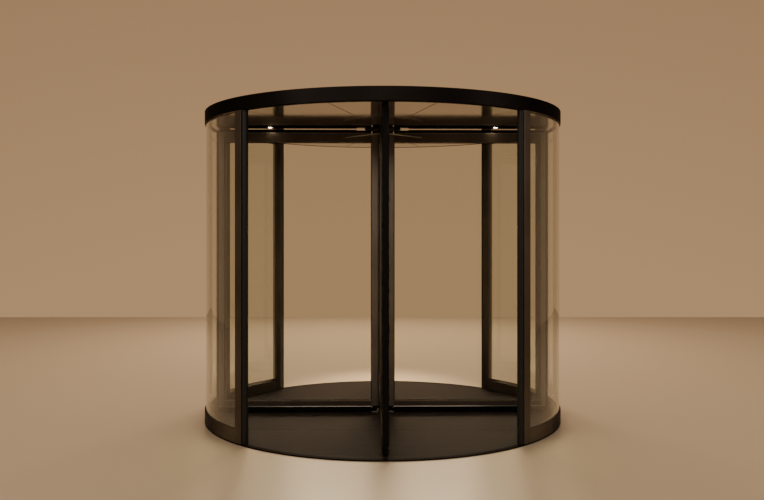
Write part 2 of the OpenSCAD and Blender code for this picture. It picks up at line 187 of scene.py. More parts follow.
def grain_point(material, grain):
    """A point that changes quickly across the bar and slowly along it."""
    point = object_point(material)
    fine, slow = 1 / DIE_LINE, 1 / GRAIN_RUN
    if grain == "round":
        flat = add_node(material, "ShaderNodeVectorMath", {"operation": "MULTIPLY", 1: (1, 1, 0)}, {0: point})
        radius = add_node(material, "ShaderNodeVectorMath", {"operation": "LENGTH"}, {0: flat.outputs[0]})
        height = add_node(material, "ShaderNodeSeparateXYZ", links={0: point}).outputs["Z"]
        point = add_node(material, "ShaderNodeCombineXYZ",
                         links={"X": radius.outputs["Value"], "Y": height}).outputs[0]
        scale = (fine, fine, fine)
    else:
        scale = [slow if axis == grain else fine for axis in "xyz"]
    return add_node(material, "ShaderNodeMapping", {"Scale": scale}, {"Vector": point}).outputs[0]


def lined_metal(name, grain, dark, light, roughness, edge="#5c564f"):
    """Satin metal with lines along its grain. Its dye or oxide also darkens it at flat angles, to edge."""
    material, shader = new_material(name, Metallic=0.9, Specular_Tint=hex_colour(edge))
    lines = noise(material, 1.0, point=grain_point(material, grain))
    clouds = noise(material, DYE_CLOUDS, 4.0)
    wire(material, shader,
         Base_Color=between(material, clouds, dark, light),
         Roughness=spread(material, lines, roughness - 0.05, roughness + 0.08),
         Normal=bump(material, lines, DIE_LINE_DEPTH, 0.6))
    return material


BRONZE = {grain: lined_metal("bronze_anodised_aluminium_" + grain, grain, dark, light, 0.36)
          for grain, dark, light in (("x", "#5e574f", "#6f6760"), ("y", "#5e574f", "#6f6760"),
                                     ("z", "#5b554e", "#706962"), ("round", "#675f59", "#7e7770"))}
# The stiles' lighter copy of the bronze is painted light.
PAINTED_LIGHT_BRONZE = lined_metal("stile_bronze_painted_light", "z", "#766e66", "#8a8279", 0.42)
# The canopy's nearly black copy, with a darker edge tint, is painted shade; the floor border, dust cover and
# ceiling plate share it.
PAINTED_SHADE_BRONZE = lined_metal("canopy_bronze_painted_shade", "round", "#1b1817", "#262321", 0.42,
                            "#38342f")
BEAD_BRONZE = lined_metal("smooth_bronze_anodised_aluminium", "round", "#6b645c", "#837b72", 0.24)
# The rail lips' pale aluminium is in part a painted highlight, for the light line along each rail's foot.
LIP_HIGHLIGHT_ALUMINIUM = lined_metal("pale_lip_aluminium_painted_highlight", "round", "#8a8781", "#9f9b95", 0.34)
print("materials so far:", len(bpy.data.materials))

# %% [markdown]
# ## Other metals
# Hub stars, bearing cap, light bezels and the screws beside them are blackened steel, which has a dark skin
# with a soft shine. The stays are satin stainless rod, finely scratched. The ceiling is polished steel with
# a bronze tint. A perfect mirror would be simpler, but thin sheet never lies quite flat, so a slow noise
# bends the reflections by a fraction of a degree.

# %% Steel and polished ceiling
SCRATCHES = 420
SHEET_TINTS = 1.4
SHEET_HAZE = 60
SHEET_WAVES = 3
SHEET_WAVE_RISE = 1.5 * MM

DARK_STEEL = lined_metal("blackened_steel", "round", "#1b1917", "#262320", 0.42)

STAY_STEEL, stay_shader = new_material("satin_stainless_rod", Metallic=1.0)
scratches = noise(STAY_STEEL, SCRATCHES, 3.0)
wire(STAY_STEEL, stay_shader,
     Base_Color=between(STAY_STEEL, scratches, "#8d8880", "#a19b92"),
     Roughness=spread(STAY_STEEL, scratches, 0.24, 0.36))

SCREW_STEEL, _ = new_material("zinc_plated_screw", Base_Color=hex_colour("#6d665c"), Metallic=1.0,
                              Roughness=0.35)

CEILING, ceiling_shader = new_material("polished_bronze_tint_steel", Metallic=1.0)
wire(CEILING, ceiling_shader,
     Base_Color=between(CEILING, noise(CEILING, SHEET_TINTS, 3.0), "#a9a2a0", "#b7b0ae"),
     Roughness=spread(CEILING, noise(CEILING, SHEET_HAZE, 3.0), 0.06, 0.12),
     Normal=bump(CEILING, noise(CEILING, SHEET_WAVES, 1.0), SHEET_WAVE_RISE, 0.5))
print("materials so far:", len(bpy.data.materials))

# %% [markdown]
# ## Glass
# The walls and wings are clear float glass. A thin pane is nearly white to look through and green at its
# edges, because light runs a long way inside it there. The shader refracts light with the index of soda-lime
# glass. Shadow rays take a plain tinted way through instead, so that the lamps still light what stands behind
# a pane.

# %% Float glass
GLASS_IOR = 1.52
GLASS_TINT = hex_colour("#f1f3ee")

GLASS, glass_shader = new_material("float_glass", Base_Color=GLASS_TINT, Roughness=0.0, IOR=GLASS_IOR,
                                   Transmission_Weight=1.0)
shadow_ray = add_node(GLASS, "ShaderNodeLightPath").outputs["Is Shadow Ray"]
clear = add_node(GLASS, "ShaderNodeBsdfTransparent", {"Color": GLASS_TINT}).outputs[0]
mix = add_node(GLASS, "ShaderNodeMixShader", links={0: shadow_ray, 1: glass_shader.outputs[0], 2: clear})
wire(GLASS, GLASS.node_tree.nodes["Material Output"], Surface=mix.outputs[0])
print("glass index:", GLASS_IOR)

# %% [markdown]
# ## Rubber, bristle and carpet
# Safety noses and gaskets are moulded EPDM rubber, dull with a soft skin. The brush seals are black nylon
# bristle. The mat is a ribbed carpet of dark brown yarn, which looks a little lighter at a flat angle because
# its fibre ends catch the light: that is what sheen does. Wide soft patches show where feet have brushed the
# pile.

# %% Rubber, bristle and carpet
SKIN_SPOTS = 180
SKIN_RISE = 0.1 * MM
BRISTLE_TIPS = 240
YARNS = 160
YARN_RISE = 1.2 * MM
WORN_PATCHES = 1.8
YARN_SHARE, PATCH_SHARE = 0.45, 0.55

RUBBER, rubber_shader = new_material("black_epdm_rubber", Specular_IOR_Level=0.4)
skin = noise(RUBBER, SKIN_SPOTS, 3.0)
wire(RUBBER, rubber_shader,
     Base_Color=between(RUBBER, skin, "#0f0e0d", "#171615"),
     Roughness=spread(RUBBER, skin, 0.42, 0.58),
     Normal=bump(RUBBER, skin, SKIN_RISE, 0.4))

BRISTLE, bristle_shader = new_material("black_nylon_bristle", Roughness=0.7, Specular_IOR_Level=0.15)
wire(BRISTLE, bristle_shader,
     Base_Color=between(BRISTLE, noise(BRISTLE, BRISTLE_TIPS), "#050505", "#0f0e0d"))

CARPET, carpet_shader = new_material("ribbed_entrance_carpet", Roughness=0.9, Sheen_Weight=0.06,
                                     Sheen_Roughness=0.4, Specular_IOR_Level=0.1)
yarn = noise(CARPET, YARNS)
patches = noise(CARPET, WORN_PATCHES, 5.0)
worn = add_node(CARPET, "ShaderNodeMath", {"operation": "MULTIPLY", 1: YARN_SHARE}, {0: yarn}).outputs[0]
both = add_node(CARPET, "ShaderNodeMath", {"operation": "MULTIPLY_ADD", 1: PATCH_SHARE},
                {0: patches, 2: worn}).outputs[0]
wire(CARPET, carpet_shader,
     Base_Color=between(CARPET, both, "#1f1712", "#29201a", 0.35, 0.65),
     Normal=bump(CARPET, yarn, YARN_RISE, 0.6))
print("materials so far:", len(bpy.data.materials))

# %% [markdown]
# ## Light lens
# Each ceiling light has an opal lens. A lamp under it would light the door as well, which the studio's lamps
# already do, so the lens just glows by itself.

# %% Opal lens
LENS_OPAL, _ = new_material("opal_polycarbonate", Base_Color=hex_colour("#f6efdf"), Roughness=0.35,
                            Emission_Color=hex_colour("#ffe2b8"), Emission_Strength=40.0)
print("materials:", len(bpy.data.materials))

# %% [markdown]
# ## Shapes
# Nearly every piece is a straight or a curved length of some section, or a turned part. So there are a few
# makers: an outline whose corners can be rounded, an extrusion, a sweep round the axis, a full turn on the
# lathe, and a bar with bevelled edges. Each returns a bmesh, and one function turns a bmesh into a finished
# piece that rides on its body.

# %% Outlines and extrusions
ROUND_STEPS = 4
FULL_ROUND = 0.98   # a round that takes nearly half the width, so that two of them don't quite meet


def vertices(geometry):
    return [item for item in geometry if isinstance(item, bmesh.types.BMVert)]


def polar(radius, degrees, *rounding):
    return radius * math.cos(math.radians(degrees)), radius * math.sin(math.radians(degrees)), *rounding


def soften(bm, geom, radius, segments, affect="EDGES"):
    bmesh.ops.bevel(bm, geom=geom, offset=radius, affect=affect, segments=segments, profile=0.5, material=-1)


def outline(points, upright):
    """One face through corner points (u, v) or (u, v, radius), in the XZ plane if upright, else in XY."""
    bm = bmesh.new()
    rounded = {}
    for u, v, *radius in points:
        corner = bm.verts.new((u, 0, v) if upright else (u, v, 0))
        if radius:
            rounded.setdefault(radius[0], []).append(corner)
    bm.faces.new(bm.verts)
    for radius, corners in rounded.items():
        soften(bm, corners, radius, ROUND_STEPS, "VERTICES")
    return bm


def extrude(bm, vector):
    """Draws the outline's face out to a solid bar."""
    made = bmesh.ops.extrude_face_region(bm, geom=bm.faces[:])["geom"]
    bmesh.ops.translate(bm, verts=vertices(made), vec=vector)
    return bm


def prism(plan, low, high):
    """A plan drawn up from one height to another."""
    bm = extrude(outline(plan, False), (0, 0, high - low))
    bmesh.ops.translate(bm, verts=bm.verts, vec=(0, 0, low))
    return bm


def bar(bm, low, high, radius, segments=2):
    """Adds a box from corner to corner whose edges are rounded."""
    low, high = Vector(low), Vector(high)
    place = Matrix.Translation((low + high) / 2) @ Matrix.Diagonal((*(high - low), 1))
    made = bmesh.ops.create_cube(bm, size=1, matrix=place)["verts"]
    if radius:
        soften(bm, list({edge for vert in made for edge in vert.link_edges}), radius, segments)
    return bm

# %% Turned and swept parts
SWEEP_STEP = 1.5   # degrees
MERGE = 0.01 * MM


def turned(bm, degrees):
    bmesh.ops.rotate(bm, verts=bm.verts, matrix=Matrix.Rotation(math.radians(degrees), 3, "Z"))
    return bm


def sweep(points, from_a, to_a):
    """A section (radius, height) swept round the axis between two angles, closed at both ends."""
    bm = turned(outline(points, True), from_a)
    steps = max(1, round((to_a - from_a) / SWEEP_STEP))
    bmesh.ops.spin(bm, geom=bm.verts[:] + bm.edges[:] + bm.faces[:], axis=(0, 0, 1),
                   angle=math.radians(to_a - from_a), steps=steps)
    return bm


def lathe(points, steps=240, centre=(0, 0)):
    """A section turned all the way round, joined at the axis where it touches it."""
    bm = outline(points, True)
    bmesh.ops.delete(bm, geom=bm.faces[:], context="FACES_ONLY")
    bmesh.ops.spin(bm, geom=bm.verts[:] + bm.edges[:], axis=(0, 0, 1), angle=math.tau, steps=steps,
                   use_merge=True)
    bmesh.ops.remove_doubles(bm, verts=bm.verts, dist=MERGE)
    bmesh.ops.translate(bm, verts=bm.verts, vec=(*centre, 0))
    return bm


def round_bar(radius, low, high, steps, centre=(0, 0)):
    """A plain cylinder between two heights."""
    return lathe([(0, low), (radius, low), (radius, high), (0, high)], steps, centre)


def join(*parts):
    """Puts several bmeshes into one."""
    whole = bmesh.new()
    for part in parts:
        loose = bpy.data.meshes.new("loose")
        part.to_mesh(loose)
        part.free()
        whole.from_mesh(loose)
        bpy.data.meshes.remove(loose)
    return whole

# %% [markdown]
# A piece is shaded smooth, with hard edges where two faces meet at more than 32 degrees. Weighted normals
# then keep the flats flat beside a rounded edge, so that a bar doesn't look like a tube.

# %% Finished pieces
HARD_EDGE = math.radians(32)
triangles = {}


def mesh_object(name, bm, material):
    mesh = bpy.data.meshes.new(name)
    bm.to_mesh(mesh)
    bm.free()
    mesh.materials.append(material)
    return new_object(name, mesh)


def finish_piece(name, bm, material, slot, *solids, body="drum", weighted=True):
    """Turns a bmesh into a named piece with its finish, its body and the solids that it stands for."""
    bmesh.ops.recalc_face_normals(bm, faces=bm.faces)
    for face in bm.faces:
        face.smooth = True
    for edge in bm.edges:
        edge.smooth = edge.calc_face_angle(0) < HARD_EDGE
    triangles[name] = sum(len(face.verts) - 2 for face in bm.faces)
    piece = mesh_object(name, bm, material)
    if weighted:
        piece.modifiers.new("even_shading", "WEIGHTED_NORMAL").keep_sharp = True
    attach(piece, body)
    if solids:
        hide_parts(*solids)


def flipped(bm, left, front=False):
    """Mirrors a piece of the right rear quarter to another quarter."""
    bmesh.ops.scale(bm, verts=bm.verts, vec=(-1 if left else 1, -1 if front else 1, 1))
    return bm

# %% [markdown]
# ## Sizes
# The sizes come from the solids. A box gives heights and widths, and the curved wall pieces also give their
# radii and the angles where they start and end. So a change to the solids carries through to the dressing.

# %% Sizes from the frame
def ring_of(node):
    """A node's inner and outer radius, its first and last angle in degrees from +X, and its heights."""
    points = [vert.co for vert in NODES[node].data.vertices]
    radii = [math.hypot(p.x, p.y) for p in points]
    angles = [math.degrees(math.atan2(p.y, p.x)) for p in points]
    levels = [p.z for p in points]
    return min(radii), max(radii), min(angles), max(angles), min(levels), max(levels)


DRUM_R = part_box("canopy_cover")[1].x
COVER_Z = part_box("canopy_cover")[0].z
CEILING_Z, PANEL_TOP_Z = (corner.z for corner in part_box("ceiling_panels"))
PANEL_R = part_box("ceiling_panels")[1].x
FLOOR_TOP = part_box("floor_ring")[1].z
MAT_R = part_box("entrance_mat")[1].x
WALL_IN_R, WALL_OUT_R, *_ = ring_of("right_rear_sill")
WALL_MID_R = (WALL_IN_R + WALL_OUT_R) / 2
QUARTERS = [(side + "_" + end, end, side == "left", end == "front")
            for side in ("left", "right") for end in ("front", "rear")]
print("drum radius %.3f, ceiling %.3f, mat radius %.3f" % (DRUM_R, CEILING_Z, MAT_R))

# %% [markdown]
# ## Floor ring and mat
# The floor ring is a slim turned border with a softened top edge. The mat is a disc of ribbed carpet. Bump
# alone would leave its mesh flat, so the top face is cut into strips by planes across it, and each strip is
# inset and raised to a rib, which the round edge trims by itself. The ribs are 12 mm apart, about twice as
# far as real ones, because finer ones would blur into each other.

# %% Floor ring
ring = [(MAT_R, 0), (DRUM_R, 0), (DRUM_R, FLOOR_TOP, 2 * MM), (MAT_R, FLOOR_TOP, 1 * MM)]
finish_piece("floor_border", lathe(ring), PAINTED_SHADE_BRONZE, "canopy_bronze", "floor_ring")
print("border %.0f mm wide" % ((DRUM_R - MAT_R) / MM))

# %% Ribbed mat
RIB_PITCH = 12 * MM
RIB_RISE = 1.2 * MM
RIB_SLOPE = 1.8 * MM
MAT_STEPS = 300
MAT_GAP = 0.5 * MM
RIB_FOOT = FLOOR_TOP - RIB_RISE


def middle(face):
    return face.calc_center_median()


mat_bm = bmesh.new()
bmesh.ops.create_circle(mat_bm, cap_ends=True, segments=MAT_STEPS, radius=MAT_R - MAT_GAP)
extrude(mat_bm, (0, 0, RIB_FOOT))
strips = [max(mat_bm.faces, key=lambda face: middle(face).z)]
for cut in range(1, int(2 * MAT_R / RIB_PITCH) + 1):
    last = max(strips, key=lambda face: middle(face).y)
    made = bmesh.ops.bisect_plane(mat_bm, geom=[last] + list(last.edges) + list(last.verts), dist=0.001 * MM,
                                  plane_co=(0, -MAT_R + cut * RIB_PITCH, 0), plane_no=(0, 1, 0))
    strips = [g for g in made["geom"] if isinstance(g, bmesh.types.BMFace)]
tops = [f for f in mat_bm.faces if abs(middle(f).z - RIB_FOOT) < MERGE and abs(f.normal.z) > 0.9]
bmesh.ops.inset_individual(mat_bm, faces=tops, thickness=RIB_SLOPE, depth=RIB_RISE, use_even_offset=True)
print("ribs:", len(tops))
finish_piece("ribbed_mat", mat_bm, CARPET, "entrance_mat", "entrance_mat", weighted=False)

# %% [markdown]
# ## Floor bearing
# The shaft's foot turns in a bearing under a chamfered steel cap with four screws. A screw is a low turned
# head, so it is made on the lathe too, with few faces, wherever the door has one.

# %% Screws and floor bearing
SCREW_STEPS = 10
HEAD_SIDE, HEAD_TOP = 0.4, 0.7   # how much of a head's height is its side, and of its radius its top
CHAMFER = 3 * MM
CAP_SCREW_RING = 41 * MM


def screw_ring(count, ring_r, z, radius, rise, start=0):
    """Pan head screws on a level face at height z, or under it if rise is negative."""
    head = [(0, z), (radius, z), (radius, z + rise * HEAD_SIDE), (radius * HEAD_TOP, z + rise), (0, z + rise)]
    return join(*(lathe(head, SCREW_STEPS, polar(ring_r, start + i * 360 / count)) for i in range(count)))


cap_r, _, bearing_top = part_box("floor_bearing")[1]
cap = [(0, 0), (cap_r, 0), (cap_r, bearing_top - CHAMFER), (cap_r - CHAMFER, bearing_top), (0, bearing_top)]
cap_screws = screw_ring(4, CAP_SCREW_RING, bearing_top, 3.5 * MM, 0.2 * MM, 45)
finish_piece("bearing_cap", lathe(cap, 96), DARK_STEEL, "shaft_steel", "floor_bearing")
finish_piece("bearing_screws", cap_screws, DARK_STEEL, "shaft_steel")
print("bearing cap radius %.0f mm" % (cap_r / MM))

# %% [markdown]
# ## Curved walls
# Each wall has a curved bottom rail, a bent pane and a head bead, in a front and a rear field on both sides
# of the facade post. A straight bar could be bent by a modifier, but a section that is swept between two
# angles is round from the start and ends exactly where its solid does. The pane sits between two sloped
# beads, and a thin black gasket stands between bead and glass on each side.

# %% Sections of the curved walls
BEAD = 9 * MM
BEAD_LIP = 1.5 * MM
GASKET_W = 2.2 * MM
GASKET_RISE = 3 * MM
EDGE_ROUND = 2 * MM
RAIL_EDGE = 0.8 * MM


def bead_and_gasket(glass_r, side, base_z, way):
    """Sections of the bead and the gasket beside the glass face at glass_r: side is -1 inside and 1 outside,
    and way is 1 above a rail and -1 under the canopy. The outer bead ends at the rail's edge."""
    near = glass_r + side * GASKET_W
    far = min(near + side * BEAD, WALL_OUT_R - RAIL_EDGE)
    bead = [(near, base_z), (far, base_z), (far, base_z + way * BEAD_LIP),
            (near, base_z + way * BEAD, 1 * MM)]
    top = base_z + way * (BEAD + GASKET_RISE)
    gasket = [(glass_r, base_z), (near, base_z), (near, top, 0.8 * MM), (glass_r, top)]
    return bead, gasket

# %% Curved walls
for quarter, end, left, _ in QUARTERS:
    _, _, from_a, to_a, rail_z, bead_top = ring_of("right_%s_sill" % end)
    glass_in, glass_out, glass_from, glass_to, glass_z, glass_top = ring_of("right_%s_glass" % end)
    rail_top = bead_top - BEAD
    rail = [(WALL_IN_R, rail_z), (WALL_OUT_R, rail_z), (WALL_OUT_R, rail_top, 0.6 * MM),
            (WALL_IN_R, rail_top, EDGE_ROUND)]
    pane = [(glass_in, glass_z), (glass_out, glass_z), (glass_out, glass_top), (glass_in, glass_top)]
    pairs = [bead_and_gasket(face_r, way_out, base_z, way)
             for face_r, way_out in ((glass_in, -1), (glass_out, 1))
             for base_z, way in ((rail_top, 1), (CEILING_Z, -1))]
    beads, gaskets = (join(*(sweep(section, from_a, to_a) for section in kind)) for kind in zip(*pairs))
    finish_piece(quarter + "_rail", flipped(sweep(rail, from_a, to_a), left), BRONZE["round"], "bronze_frame",
                 quarter + "_sill")
    finish_piece(quarter + "_beads", flipped(beads, left), BEAD_BRONZE, "bronze_frame")
    finish_piece(quarter + "_gaskets", flipped(gaskets, left), RUBBER, "safety_rubber")
    finish_piece(quarter + "_pane", flipped(sweep(pane, glass_from, glass_to), left), GLASS, "clear_glass",
                 quarter + "_glass")
print("wall fields:", len(QUARTERS))

# %% [markdown]
# ## End posts and safety noses
# At each throat the wall ends in a post with a rubber nose on its edge. The nose has a narrow neck that
# slides into the post, so a dark gap shows between the bronze and the rubber. The rest of it is a D-shaped
# bulb that gives way when a hand or a foot is caught. Both are extrusions, so each is one plan, drawn up.

# %% Posts and noses
NECK = 5 * MM
NECK_W = 30 * MM
CHANNEL = 8 * MM
LIP_T = 6 * MM
SLIDE_GAP = 0.3 * MM
SEAT_DEPTH = 3 * MM
NOSE_SHOULDER = 3 * MM

_, _, post_from, post_to, post_z, post_top = ring_of("right_rear_post")
post_end = post_to - math.degrees(SEAT_DEPTH / WALL_MID_R)


def at_post_end(across, along, *rounding):
    """A point of a plan, measured from the middle of the post's end face."""
    place = Matrix.Rotation(math.radians(post_end), 2) @ Vector((WALL_MID_R + across, along))
    return *place, *rounding


lip = WALL_OUT_R - WALL_MID_R - LIP_T
groove = NECK_W / 2 + SLIDE_GAP
slot_plan = [at_post_end(*point) for point in (
    (lip, 0), (groove, 0), (groove, -CHANNEL), (-groove, -CHANNEL), (-groove, 0), (-lip, 0))]
post_plan = [polar(WALL_IN_R, post_from), polar(WALL_OUT_R, post_from),
             polar(WALL_OUT_R, post_to, EDGE_ROUND), polar(WALL_OUT_R - LIP_T, post_to, 1 * MM), *slot_plan,
             polar(WALL_IN_R + LIP_T, post_to, 1 * MM), polar(WALL_IN_R, post_to, EDGE_ROUND)]

to_x = Matrix.Rotation(math.radians(-post_end), 2)
nose_points = [to_x @ vert.co.xy for vert in NODES["right_rear_nose"].data.vertices]
nose_len = max(p.y for p in nose_points)
nose_half = max(p.x for p in nose_points) - WALL_MID_R
bulb = nose_half * FULL_ROUND
heel = SLIDE_GAP - CHANNEL
nose_plan = [at_post_end(*point) for point in (
    (-NECK_W / 2, heel), (NECK_W / 2, heel), (NECK_W / 2, NECK), (nose_half, NECK, NOSE_SHOULDER),
    (nose_half, nose_len, bulb), (-nose_half, nose_len, bulb), (-nose_half, NECK, NOSE_SHOULDER),
    (-NECK_W / 2, NECK))]
for quarter, _, left, front in QUARTERS:
    finish_piece(quarter + "_end_post", flipped(prism(post_plan, post_z, post_top), left, front), BRONZE["z"],
                 "bronze_frame", quarter + "_post")
    finish_piece(quarter + "_safety_nose", flipped(prism(nose_plan, post_z, post_top), left, front), RUBBER,
                 "safety_rubber", quarter + "_nose")
print("nose %.0f mm wide, %.0f mm long" % (2 * nose_half / MM, nose_len / MM))

# %% [markdown]
# ## Facade posts
# The post at the facade plane follows the drum's curve and carries a flat seat for the facade's own frame.
# Post and seat are one extrusion on the real door, so they are one plan here, with rounded corners.

# %% Facade posts
_, _, mullion_from, mullion_to, mullion_z, mullion_top = ring_of("right_mullion")
mullion_mid = (mullion_from + mullion_to) / 2
seat = [vert.co.y for vert in NODES["right_mullion"].data.vertices if vert.co.x > DRUM_R - 0.1 * MM]
seat_low, seat_high = min(seat), max(seat)


def drum_x(y):
    """How far out the drum's face is at y."""
    return math.sqrt(DRUM_R ** 2 - y ** 2)


mullion_plan = [polar(WALL_IN_R, mullion_to, 1 * MM), polar(WALL_IN_R, mullion_mid),
                polar(WALL_IN_R, mullion_from, 1 * MM), polar(DRUM_R, mullion_from, 0.6 * MM),
                (drum_x(seat_low), seat_low), (DRUM_R, seat_low, EDGE_ROUND),
                (DRUM_R, seat_high, EDGE_ROUND), (drum_x(seat_high), seat_high),
                polar(DRUM_R, mullion_to, 1 * MM)]
for side in ("left", "right"):
    finish_piece(side + "_facade_post", flipped(prism(mullion_plan, mullion_z, mullion_top), side == "left"),
                 BRONZE["z"], "bronze_frame", side + "_mullion")
print("facade seat %.0f mm wide" % ((seat_high - seat_low) / MM))

# %% [markdown]
# ## Canopy and ceiling
# The canopy is a rolled bronze band with a softened lower edge, which is a turned section, and a sheet metal
# dust cover with lapped seams and screws on top. Both are in the nearly black bronze that paints in shade.
# The ceiling has twelve polished wedges with open joints of 8 mm. Each could be cut out of one disc, but a
# plan per wedge gives clean edges to bevel, and the 0.5 mm bevel stands for the folded edge of the sheet. A
# black strip in each joint is painted shade, for the dark space above the joints.

# %% Canopy band and dust cover
FLANGE_T = 14 * MM
SHEET_T = 1.5 * MM
SEAM_N = 8
SEAM_W = 40 * MM
SEAM_START = 140 * MM
SEAM_END = 8 * MM
LAP = 0.2 * MM
PATCH_R = 160 * MM
PATCH_T = 0.7 * MM
COVER_SCREW_N = 48

FLANGE_R, *_ = ring_of("canopy_ring")
flange_top = PANEL_TOP_Z + FLANGE_T
band = [(PANEL_R, CEILING_Z), (DRUM_R, CEILING_Z, 3 * MM), (DRUM_R, COVER_Z, 1 * MM), (PANEL_R, COVER_Z),
        (PANEL_R, flange_top), (FLANGE_R, flange_top), (FLANGE_R, PANEL_TOP_Z), (PANEL_R, PANEL_TOP_Z)]
finish_piece("canopy_band", lathe(band), PAINTED_SHADE_BRONZE, "canopy_bronze", "canopy_ring")

sheet_top = COVER_Z + SHEET_T
sheets = [lathe([(0, COVER_Z), (DRUM_R, COVER_Z), (DRUM_R, sheet_top, 0.6 * MM), (0, sheet_top)]),
          round_bar(PATCH_R, sheet_top, sheet_top + PATCH_T, 96)]
for i in range(SEAM_N):
    seam = bar(bmesh.new(), (SEAM_START, -SEAM_W / 2, sheet_top - LAP),
               (DRUM_R - SEAM_END, SEAM_W / 2, sheet_top + PATCH_T - LAP), LAP, 1)
    sheets.append(turned(seam, (i + 0.5) * 360 / SEAM_N))
finish_piece("dust_cover", join(*sheets), PAINTED_SHADE_BRONZE, "canopy_bronze", "canopy_cover")
finish_piece("dust_cover_screws", screw_ring(COVER_SCREW_N, DRUM_R - 25 * MM, sheet_top, 6 * MM, 1.4 * MM),
             SCREW_STEEL, "canopy_bronze")
print("dust cover seams:", SEAM_N)

# %% Ceiling panels
PANEL_N = 12
PANEL_JOINT = 8 * MM
PANEL_HOLE_R = 45.5 * MM
PANEL_FOLD = 0.5 * MM
RIM_STEPS = 12
STRIP_START = 60 * MM
STRIP_SETBACK = 4 * MM
STRIP_HALF = PANEL_JOINT * 0.46

half_turn = math.pi / PANEL_N
hole_a, rim_a = (math.degrees(half_turn - math.asin(PANEL_JOINT / 2 / r)) for r in (PANEL_HOLE_R, PANEL_R))
wedge_plan = [polar(PANEL_HOLE_R, hole_a), polar(PANEL_HOLE_R, -hole_a)]
wedge_plan += [polar(PANEL_R - 0.3 * MM, rim_a * (2 * k / RIM_STEPS - 1)) for k in range(RIM_STEPS + 1)]
wedges, strips = [], []
for i in range(PANEL_N):
    wedge = prism(wedge_plan, CEILING_Z, PANEL_TOP_Z)
    rim = [e for e in wedge.edges if max(v.co.z for v in e.verts) < CEILING_Z + 0.1 * MM]
    soften(wedge, rim, PANEL_FOLD, 1)
    wedges.append(turned(wedge, i * 360 / PANEL_N))
    strip = bar(bmesh.new(), (STRIP_START, -STRIP_HALF, CEILING_Z + STRIP_SETBACK),
                (PANEL_R - 2 * MM, STRIP_HALF, PANEL_TOP_Z), 0)
    strips.append(turned(strip, (i + 0.5) * 360 / PANEL_N))
finish_piece("polished_ceiling", join(*wedges), CEILING, "ceiling_mirror", "ceiling_panels")
# The black strips in the joints are painted shade, for the dark space above them.
finish_piece("ceiling_joint_shade_strips", join(*strips), RUBBER, "ceiling_mirror")
print("ceiling panels:", PANEL_N)

# %% [markdown]
# A round plate closes the ceiling round the shaft, and two small lights shine on the wings. Each light is a
# steel bezel round a lens. They are turned parts, so the lathe makes them.

# %% Hub plate and ceiling lights
PLATE_NECK_R = 45 * MM
BEZEL_W = 27 * MM

plate_low, plate_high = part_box("ceiling_hub")
plate_r, plate_z = plate_high.x, plate_low.z
plate = [(0, plate_z), (plate_r - CHAMFER, plate_z), (plate_r, plate_z + CHAMFER),
         (plate_r, CEILING_Z), (PLATE_NECK_R, CEILING_Z), (PLATE_NECK_R, plate_high.z), (0, plate_high.z)]
plate_screws = screw_ring(6, plate_r - 24 * MM, plate_z, 5 * MM, -0.8 * MM, 30)
finish_piece("ceiling_plate", lathe(plate, 120), PAINTED_SHADE_BRONZE, "canopy_bronze", "ceiling_hub")
finish_piece("ceiling_plate_screws", plate_screws, DARK_STEEL, "canopy_bronze")

light_low, light_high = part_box("ceiling_lights")
light_r, light_z = (light_high.y - light_low.y) / 2, light_low.z
light_x, light_y = light_high.x - light_r, (light_low.y + light_high.y) / 2
lens_r = light_r - BEZEL_W
bezel = [(lens_r, CEILING_Z), (lens_r, light_z + 0.6 * MM), (lens_r + 2 * MM, light_z),
         (light_r - 2 * MM, light_z), (light_r, light_z + 0.8 * MM), (light_r, CEILING_Z)]
lens = [(0, light_z + 0.5 * MM), (lens_r, light_z + 0.7 * MM), (lens_r, CEILING_Z), (0, CEILING_Z)]
bezels, lenses = (join(*(lathe(section, 64, (x, light_y)) for x in (-light_x, light_x)))
                  for section in (bezel, lens))
finish_piece("light_bezels", bezels, DARK_STEEL, "light_lens")
finish_piece("light_lenses", lenses, LENS_OPAL, "light_lens", "ceiling_lights")
print("lights %.2f m beside the axis" % light_x)

# %% [markdown]
# ## Rotor
# The shaft is a tube in the frames' bronze. The hub stars are cast crosses with rounded arms, and each arm
# holds the pin of one wing. A disc and a sleeve in the middle of each star lead to its bearing. These parts
# just overlap, because no seam shows. The door came to rest with its wings not quite square to the throat,
# and the angle is read from a fold joint's place.

# %% Shaft
END_GAP = 0.3 * MM


def joint_place(name):
    return next(Vector(j["pos_m"]) for j in frame["joints"] if j["name"] == name)


pivot = joint_place("right_wing_fold")
REST_TURN = math.degrees(math.atan2(pivot.y, pivot.x))
PIVOT_R = pivot.xy.length
SHAFT_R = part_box("centre_shaft")[1].x
shaft_foot, shaft_head = bearing_top + END_GAP, plate_z - END_GAP
finish_piece("shaft_tube", round_bar(SHAFT_R, shaft_foot, shaft_head, 72), BRONZE["z"], "bronze_frame",
             "centre_shaft", body="rotor")
print("the rotor stands at %.1f degrees" % REST_TURN)

# %% Hub stars
STAR_T = 16 * MM
STAR_EDGE = 1.2 * MM
ARM = 22.5 * MM
ARM_FILLET = 10 * MM
SLEEVE_R = 33 * MM
DISC_R = 42 * MM
PIN_R = 8 * MM
PIN_L = 29 * MM

